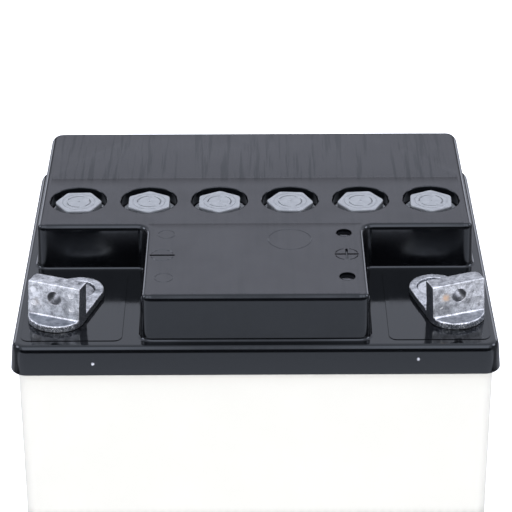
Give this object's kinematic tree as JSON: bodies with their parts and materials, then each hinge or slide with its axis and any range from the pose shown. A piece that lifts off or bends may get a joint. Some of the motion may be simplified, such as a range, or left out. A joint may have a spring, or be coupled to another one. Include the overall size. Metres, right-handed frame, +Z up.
{
  "type": "motorcycle battery",
  "caption": "Flooded motorcycle battery with a white case, a black stepped T-shaped lid, hexagon screw plugs in round wells and upright lead flag terminals.",
  "frame": {"origin": "middle of the bottom of the case, which is the middle of the bounding box at its lowest point", "axes": "+Z up; +X along the row of cells towards the positive terminal; -Y towards the side with the terminals"},
  "size_m": [0.168, 0.137, 0.176],
  "materials": {
    "case_white": "natural milky polypropylene, satin",
    "lid_black": "moulded black polypropylene, satin with a fine grain",
    "plug_grey": "moulded grey plastic, satin",
    "seal_rubber": "black rubber",
    "lead": "cast lead alloy, dull silvery grey with oxide mottling",
    "frit": "porous sintered plastic",
    "negative_plate": "grey spongy lead paste on a cast grid",
    "positive_plate": "dark brown lead dioxide paste on a cast grid",
    "separator": "folded off-white glass mat and polyethylene sheet"
  },
  "bodies": {
    "battery": {"case": "case_white", "lid": "lid_black", "terminal_negative": "lead", "post_negative": "lead", "bushing_negative": "lead", "terminal_positive": "lead", "post_positive": "lead", "bushing_positive": "lead", "flame_arrestor_rear": "frit", "flame_arrestor_front": "frit", "negative_plates_1": "negative_plate", "positive_plates_1": "positive_plate", "separator_1": "separator", "cell_link_1_2": "lead", "negative_plates_2": "negative_plate", "positive_plates_2": "positive_plate", "separator_2": "separator", "cell_link_2_3": "lead", "negative_plates_3": "negative_plate", "positive_plates_3": "positive_plate", "separator_3": "separator", "cell_link_3_4": "lead", "negative_plates_4": "negative_plate", "positive_plates_4": "positive_plate", "separator_4": "separator", "cell_link_4_5": "lead", "negative_plates_5": "negative_plate", "positive_plates_5": "positive_plate", "separator_5": "separator", "cell_link_5_6": "lead", "negative_plates_6": "negative_plate", "positive_plates_6": "positive_plate", "separator_6": "separator"},
    "seal_1_rider": {"plug_seal_1": "seal_rubber"},
    "filler_plug_1": {"plug_1": "plug_grey"},
    "seal_2_rider": {"plug_seal_2": "seal_rubber"},
    "filler_plug_2": {"plug_2": "plug_grey"},
    "seal_3_rider": {"plug_seal_3": "seal_rubber"},
    "filler_plug_3": {"plug_3": "plug_grey"},
    "seal_4_rider": {"plug_seal_4": "seal_rubber"},
    "filler_plug_4": {"plug_4": "plug_grey"},
    "seal_5_rider": {"plug_seal_5": "seal_rubber"},
    "filler_plug_5": {"plug_5": "plug_grey"},
    "seal_6_rider": {"plug_seal_6": "seal_rubber"},
    "filler_plug_6": {"plug_6": "plug_grey"}
  },
  "joints": [
    {"name": "plug_lift_1", "type": "slide", "parent": "battery", "child": "seal_1_rider", "axis": [0, 0, 1], "range_m": [0, 0.009]},
    {"name": "plug_turn_1", "type": "hinge", "parent": "seal_1_rider", "child": "filler_plug_1", "pos_m": [-0.06463, 0.0105, 0.17], "axis": [0, 0, 1], "range_deg": [0, 1080]},
    {"name": "plug_lift_2", "type": "slide", "parent": "battery", "child": "seal_2_rider", "axis": [0, 0, 1], "range_m": [0, 0.009]},
    {"name": "plug_turn_2", "type": "hinge", "parent": "seal_2_rider", "child": "filler_plug_2", "pos_m": [-0.03877, 0.0105, 0.17], "axis": [0, 0, 1], "range_deg": [0, 1080]},
    {"name": "plug_lift_3", "type": "slide", "parent": "battery", "child": "seal_3_rider", "axis": [0, 0, 1], "range_m": [0, 0.009]},
    {"name": "plug_turn_3", "type": "hinge", "parent": "seal_3_rider", "child": "filler_plug_3", "pos_m": [-0.01293, 0.0105, 0.17], "axis": [0, 0, 1], "range_deg": [0, 1080]},
    {"name": "plug_lift_4", "type": "slide", "parent": "battery", "child": "seal_4_rider", "axis": [0, 0, 1], "range_m": [0, 0.009]},
    {"name": "plug_turn_4", "type": "hinge", "parent": "seal_4_rider", "child": "filler_plug_4", "pos_m": [0.01293, 0.0105, 0.17], "axis": [0, 0, 1], "range_deg": [0, 1080]},
    {"name": "plug_lift_5", "type": "slide", "parent": "battery", "child": "seal_5_rider", "axis": [0, 0, 1], "range_m": [0, 0.009]},
    {"name": "plug_turn_5", "type": "hinge", "parent": "seal_5_rider", "child": "filler_plug_5", "pos_m": [0.03877, 0.0105, 0.17], "axis": [0, 0, 1], "range_deg": [0, 1080]},
    {"name": "plug_lift_6", "type": "slide", "parent": "battery", "child": "seal_6_rider", "axis": [0, 0, 1], "range_m": [0, 0.009]},
    {"name": "plug_turn_6", "type": "hinge", "parent": "seal_6_rider", "child": "filler_plug_6", "pos_m": [0.06463, 0.0105, 0.17], "axis": [0, 0, 1], "range_deg": [0, 1080]}
  ],
  "couplings": [
    {"joint": "plug_lift_1", "follows": "plug_turn_1", "m_per_rad": 0.00047746},
    {"joint": "plug_lift_2", "follows": "plug_turn_2", "m_per_rad": 0.00047746},
    {"joint": "plug_lift_3", "follows": "plug_turn_3", "m_per_rad": 0.00047746},
    {"joint": "plug_lift_4", "follows": "plug_turn_4", "m_per_rad": 0.00047746},
    {"joint": "plug_lift_5", "follows": "plug_turn_5", "m_per_rad": 0.00047746},
    {"joint": "plug_lift_6", "follows": "plug_turn_6", "m_per_rad": 0.00047746}
  ]
}
